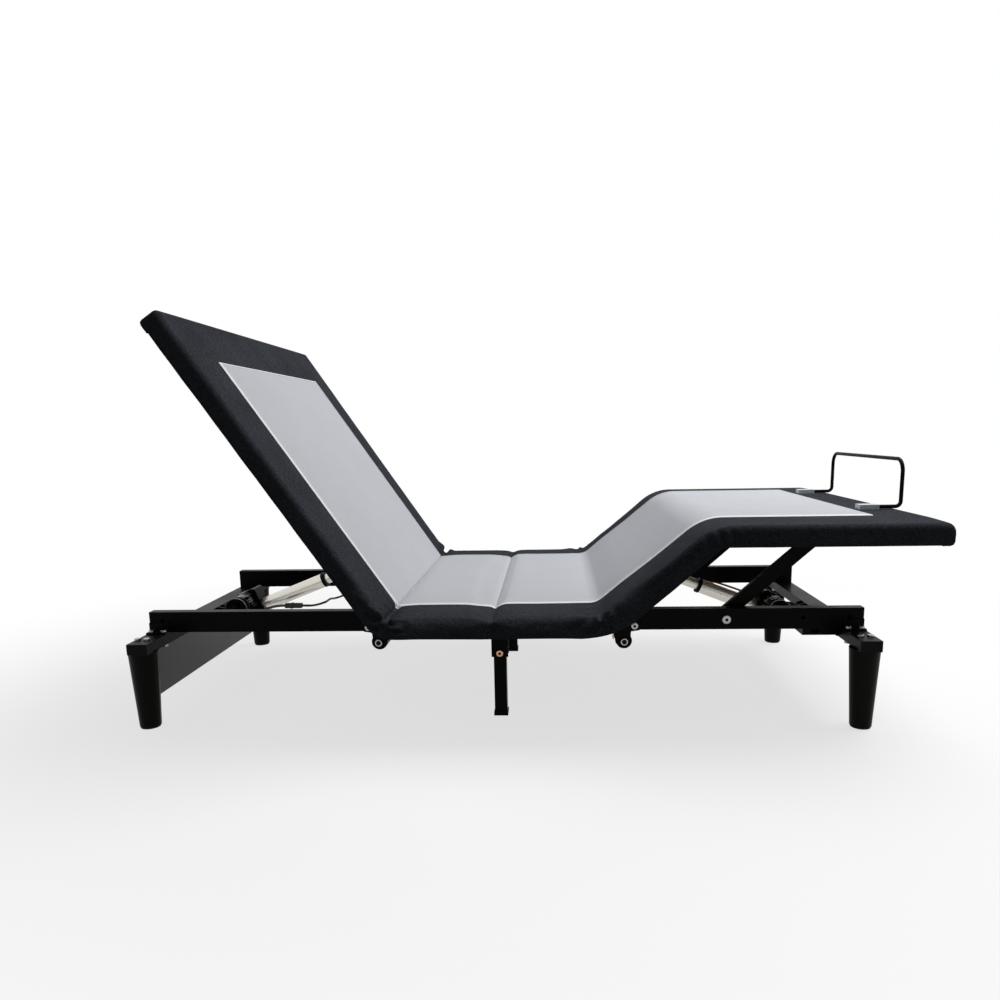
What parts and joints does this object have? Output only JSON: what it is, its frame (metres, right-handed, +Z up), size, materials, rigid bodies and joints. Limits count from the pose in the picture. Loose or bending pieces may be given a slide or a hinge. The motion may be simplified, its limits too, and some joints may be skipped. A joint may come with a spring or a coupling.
{
  "type": "adjustable bed base",
  "caption": "Powered bed base with an upholstered folding deck, tilting back, lifting thigh and level calf sections on a steel frame with conical legs and a mattress retainer bar.",
  "frame": {"origin": "on the floor, under the middle of the object's box in its stored pose", "axes": "+X from the head end to the foot end, +Y to the far side, +Z up"},
  "size_m": [1.8204, 0.965, 0.9349],
  "materials": {
    "frame_black": "black powder coat, semi-gloss",
    "zinc": "zinc plated",
    "plastic_black": "moulded, fine grain",
    "lead_black": "satin",
    "lead_red": "satin",
    "rubber_black": "matt",
    "timber": "plain board",
    "upholstery": "woven charcoal fabric with a light grey panel on top",
    "actuator_grey": "satin",
    "nylon": "plain",
    "socket_grey": "plain"
  },
  "bodies": {
    "base": {"near_rails": "frame_black", "far_rails": "frame_black", "rail_splices": "frame_black", "end_caps": "plastic_black", "rail_flanges": "frame_black", "cross_beams": "frame_black", "apron_plate": "frame_black", "frame_bolts": "zinc", "corner_legs": "plastic_black", "leg_glides": "rubber_black", "pivot_brackets": "frame_black", "pivot_bolts": "zinc", "centre_leg_brackets": "frame_black", "rail_tape": "rubber_black", "seat_boards": "timber", "seat_laths": "timber", "seat_rear_cover": "upholstery", "seat_front_cover": "upholstery", "actuator_brackets": "frame_black", "control_box": "plastic_black", "wiring_harness": "lead_red", "cable_clips": "plastic_black", "thigh_motor_lead": "lead_black"},
    "back": {"back_board": "timber", "back_laths": "timber", "back_cover": "upholstery", "back_frame": "frame_black", "back_wear_strips": "zinc"},
    "thigh": {"thigh_board": "timber", "thigh_laths": "timber", "thigh_cover": "upholstery", "thigh_frame": "frame_black", "thigh_wear_strips": "zinc", "knee_bolts": "zinc"},
    "calf": {"calf_board": "timber", "calf_laths": "timber", "calf_cover": "upholstery", "calf_frame": "frame_black", "link_pins": "zinc", "retainer_sockets": "socket_grey"},
    "links": {"calf_links": "frame_black"},
    "back_lift_tube": {"back_lift": "frame_black"},
    "back_rollers": {"back_lift_rollers": "nylon"},
    "thigh_lift_tube": {"thigh_lift": "frame_black"},
    "thigh_rollers": {"thigh_lift_rollers": "nylon"},
    "back_actuator": {"back_drive": "plastic_black", "back_outer_tube": "actuator_grey", "back_tube_collar": "plastic_black", "back_motor_lead": "lead_black", "lead_connector": "plastic_black"},
    "back_rod": {"back_push_rod": "actuator_grey", "back_rod_pin": "zinc"},
    "thigh_actuator": {"thigh_drive": "plastic_black", "thigh_outer_tube": "actuator_grey", "thigh_tube_collar": "plastic_black"},
    "thigh_rod": {"thigh_push_rod": "actuator_grey", "thigh_rod_pin": "zinc"},
    "leg_near": {"centre_leg_near": "frame_black"},
    "leg_far": {"centre_leg_far": "frame_black"},
    "retainer": {"retainer_bar": "frame_black"}
  },
  "joints": [
    {"name": "back_tilt", "type": "hinge", "parent": "base", "child": "back", "pos_m": [-0.29255, 0, 0.246], "axis": [0, 1, 0], "range_deg": [-56, 9]},
    {"name": "thigh_tilt", "type": "hinge", "parent": "base", "child": "thigh", "pos_m": [0.21478, 0, 0.246], "axis": [0, -1, 0], "range_deg": [-41.5, 3.5]},
    {"name": "knee_fold", "type": "hinge", "parent": "thigh", "child": "calf", "pos_m": [0.43722, 0, 0.4428], "axis": [0, 1, 0], "range_deg": [-41.6, 3.6]},
    {"name": "link_swing", "type": "hinge", "parent": "base", "child": "links", "pos_m": [0.49378, 0, 0.236], "axis": [0, -1, 0], "range_deg": [-41.6, 3.6]},
    {"name": "back_lift_turn", "type": "hinge", "parent": "base", "child": "back_lift_tube", "pos_m": [-0.33172, 0, 0.185], "axis": [0, 1, 0], "range_deg": [-56.16, 9.11]},
    {"name": "thigh_lift_turn", "type": "hinge", "parent": "base", "child": "thigh_lift_tube", "pos_m": [0.25478, 0, 0.185], "axis": [0, -1, 0], "range_deg": [-44.22, 3.82]},
    {"name": "back_roller_spin", "type": "hinge", "parent": "back_lift_tube", "child": "back_rollers", "pos_m": [-0.44735, 0, 0.46182], "axis": [0, 1, 0], "continuous": true},
    {"name": "thigh_roller_spin", "type": "hinge", "parent": "thigh_lift_tube", "child": "thigh_rollers", "pos_m": [0.36614, 0, 0.37473], "axis": [0, 1, 0], "continuous": true},
    {"name": "back_actuator_swing", "type": "hinge", "parent": "base", "child": "back_actuator", "pos_m": [-0.78692, 0, 0.1874], "axis": [0, -1, 0], "range_deg": [-12.2, 2.04]},
    {"name": "back_rod_slide", "type": "slide", "parent": "back_actuator", "child": "back_rod", "axis": [0.9301, 0, 0.3672], "range_m": [-0.14564, 0.02383]},
    {"name": "thigh_actuator_swing", "type": "hinge", "parent": "base", "child": "thigh_actuator", "pos_m": [0.70448, 0, 0.1729], "axis": [0, 1, 0], "range_deg": [-13.34, 1.22]},
    {"name": "thigh_rod_slide", "type": "slide", "parent": "thigh_actuator", "child": "thigh_rod", "axis": [-0.9321, 0, 0.3621], "range_m": [-0.08988, 0.00804]},
    {"name": "near_leg_fold", "type": "hinge", "parent": "base", "child": "leg_near", "pos_m": [-0.04122, -0.2735, 0.158], "axis": [0, -1, 0], "range_deg": [0, 90]},
    {"name": "far_leg_fold", "type": "hinge", "parent": "base", "child": "leg_far", "pos_m": [-0.04122, 0.2735, 0.158], "axis": [0, -1, 0], "range_deg": [0, 90]},
    {"name": "retainer_slide", "type": "slide", "parent": "calf", "child": "retainer", "axis": [1, 0, 0], "range_m": [0, 0.05]}
  ],
  "couplings": [
    {"joint": "back_lift_turn", "follows": "back_tilt", "ratio": 1.001},
    {"joint": "back_actuator_swing", "follows": "back_tilt", "ratio": 0.216},
    {"joint": "back_rod_slide", "follows": "back_tilt", "m_per_rad": 0.1485},
    {"joint": "knee_fold", "follows": "thigh_tilt", "ratio": 1},
    {"joint": "link_swing", "follows": "thigh_tilt", "ratio": 1},
    {"joint": "thigh_lift_turn", "follows": "thigh_tilt", "ratio": 1.063},
    {"joint": "thigh_actuator_swing", "follows": "thigh_tilt", "ratio": 0.319},
    {"joint": "thigh_rod_slide", "follows": "thigh_tilt", "m_per_rad": 0.1234}
  ]
}
